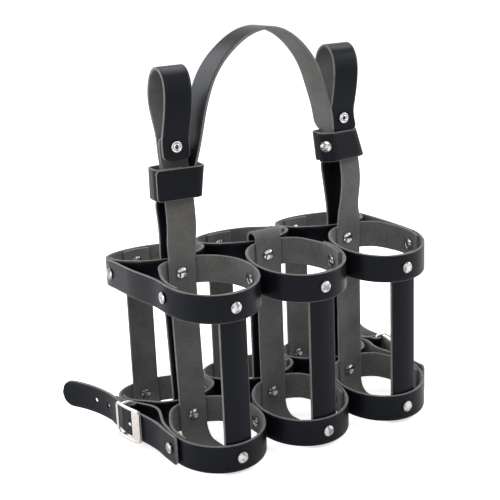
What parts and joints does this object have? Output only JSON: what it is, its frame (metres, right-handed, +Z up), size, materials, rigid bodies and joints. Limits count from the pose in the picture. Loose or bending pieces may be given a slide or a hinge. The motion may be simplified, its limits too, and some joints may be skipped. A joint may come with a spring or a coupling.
{
  "type": "leather bottle carrier",
  "caption": "Open cage of riveted leather straps with two rows of bottle cups, a carrying handle, snap loops, keepers and a buckled strap at each end.",
  "frame": {"origin": "middle of the carrier's box, at the ground under its strap floors", "axes": "+X along the two rows to the right end, +Y from the front row to the back row, +Z up"},
  "size_m": [0.269, 0.172, 0.2928],
  "materials": {
    "black_leather": "satin",
    "nickel": "polished"
  },
  "bodies": {
    "cage": {"billet_left": "black_leather", "billet_right": "black_leather", "buckle_strap_left": "black_leather", "buckle_strap_right": "black_leather", "end_band_left_bottom": "black_leather", "end_band_left_top": "black_leather", "end_band_right_bottom": "black_leather", "end_band_right_top": "black_leather", "end_rivet_left_back_bottom": "nickel", "end_rivet_left_back_top": "nickel", "end_rivet_left_front_bottom": "nickel", "end_rivet_left_front_top": "nickel", "end_rivet_right_back_bottom": "nickel", "end_rivet_right_back_top": "nickel", "end_rivet_right_front_bottom": "nickel", "end_rivet_right_front_top": "nickel", "front_leg_strap_left": "black_leather", "front_leg_strap_right": "black_leather", "loop_back_left": "black_leather", "loop_back_right": "black_leather", "loop_rivet_left": "nickel", "loop_rivet_right": "nickel", "middle_band_back_bottom": "black_leather", "middle_band_back_top": "black_leather", "middle_band_front_bottom": "black_leather", "middle_band_front_top": "black_leather", "rear_leg_strap_left": "black_leather", "rear_leg_strap_right": "black_leather", "ring_rivet_left_back_bottom": "nickel", "ring_rivet_left_back_top": "nickel", "ring_rivet_left_front_bottom": "nickel", "ring_rivet_left_front_top": "nickel", "ring_rivet_right_back_bottom": "nickel", "ring_rivet_right_back_top": "nickel", "ring_rivet_right_front_bottom": "nickel", "ring_rivet_right_front_top": "nickel", "saddle_strap": "black_leather", "snap_stud_left": "nickel", "snap_stud_right": "nickel"},
    "handle": {"handle": "black_leather"},
    "flap_left": {"loop_flap_left": "black_leather", "snap_socket_left": "nickel"},
    "keeper_left": {"keeper_left": "black_leather"},
    "buckle_left": {"buckle_frame_left": "nickel"},
    "tongue_left": {"tongue_left": "nickel"},
    "tail_left": {"billet_tail_left": "black_leather"},
    "flap_right": {"loop_flap_right": "black_leather", "snap_socket_right": "nickel"},
    "keeper_right": {"keeper_right": "black_leather", "keeper_rivet": "nickel"},
    "buckle_right": {"buckle_frame_right": "nickel"},
    "tongue_right": {"tongue_right": "nickel"},
    "tail_right": {"billet_tail_right": "black_leather"}
  },
  "joints": [
    {"name": "handle_swing", "type": "hinge", "parent": "cage", "child": "handle", "pos_m": [0, -0.00157, 0.21516], "axis": [-1, 0, 0], "range_deg": [0, 70]},
    {"name": "flap_left_opening", "type": "hinge", "parent": "cage", "child": "flap_left", "pos_m": [-0.0717, -0.00264, 0.27131], "axis": [-1, 0, 0], "range_deg": [0, 110]},
    {"name": "keeper_left_slide", "type": "slide", "parent": "cage", "child": "keeper_left", "axis": [0, 0, 1], "range_m": [-0.005, 0]},
    {"name": "buckle_left_rocking", "type": "hinge", "parent": "cage", "child": "buckle_left", "pos_m": [-0.1116, 0.00423, 0.01983], "axis": [0, 0, 1], "range_deg": [-1.5, 1.5]},
    {"name": "tongue_left_lift", "type": "hinge", "parent": "buckle_left", "child": "tongue_left", "pos_m": [-0.1116, 0.00423, 0.01983], "axis": [0, 0, -1], "range_deg": [0, 4.5]},
    {"name": "tail_left_bending", "type": "hinge", "parent": "cage", "child": "tail_left", "pos_m": [-0.1164, 0.02098, 0.01983], "axis": [0, 0, 1], "range_deg": [-3, 25]},
    {"name": "flap_right_opening", "type": "hinge", "parent": "cage", "child": "flap_right", "pos_m": [0.0682, -0.00264, 0.27431], "axis": [-1, 0, 0], "range_deg": [0, 110]},
    {"name": "keeper_right_slide", "type": "slide", "parent": "cage", "child": "keeper_right", "axis": [0, 0, 1], "range_m": [-0.005, 0]},
    {"name": "buckle_right_rocking", "type": "hinge", "parent": "cage", "child": "buckle_right", "pos_m": [0.1116, 0.00423, 0.01983], "axis": [0, 0, 1], "range_deg": [-1.5, 1.5]},
    {"name": "tongue_right_lift", "type": "hinge", "parent": "buckle_right", "child": "tongue_right", "pos_m": [0.1116, 0.00423, 0.01983], "axis": [0, 0, 1], "range_deg": [0, 4.5]},
    {"name": "tail_right_bending", "type": "hinge", "parent": "cage", "child": "tail_right", "pos_m": [0.1164, 0.02098, 0.01983], "axis": [0, 0, -1], "range_deg": [-3, 25]}
  ]
}
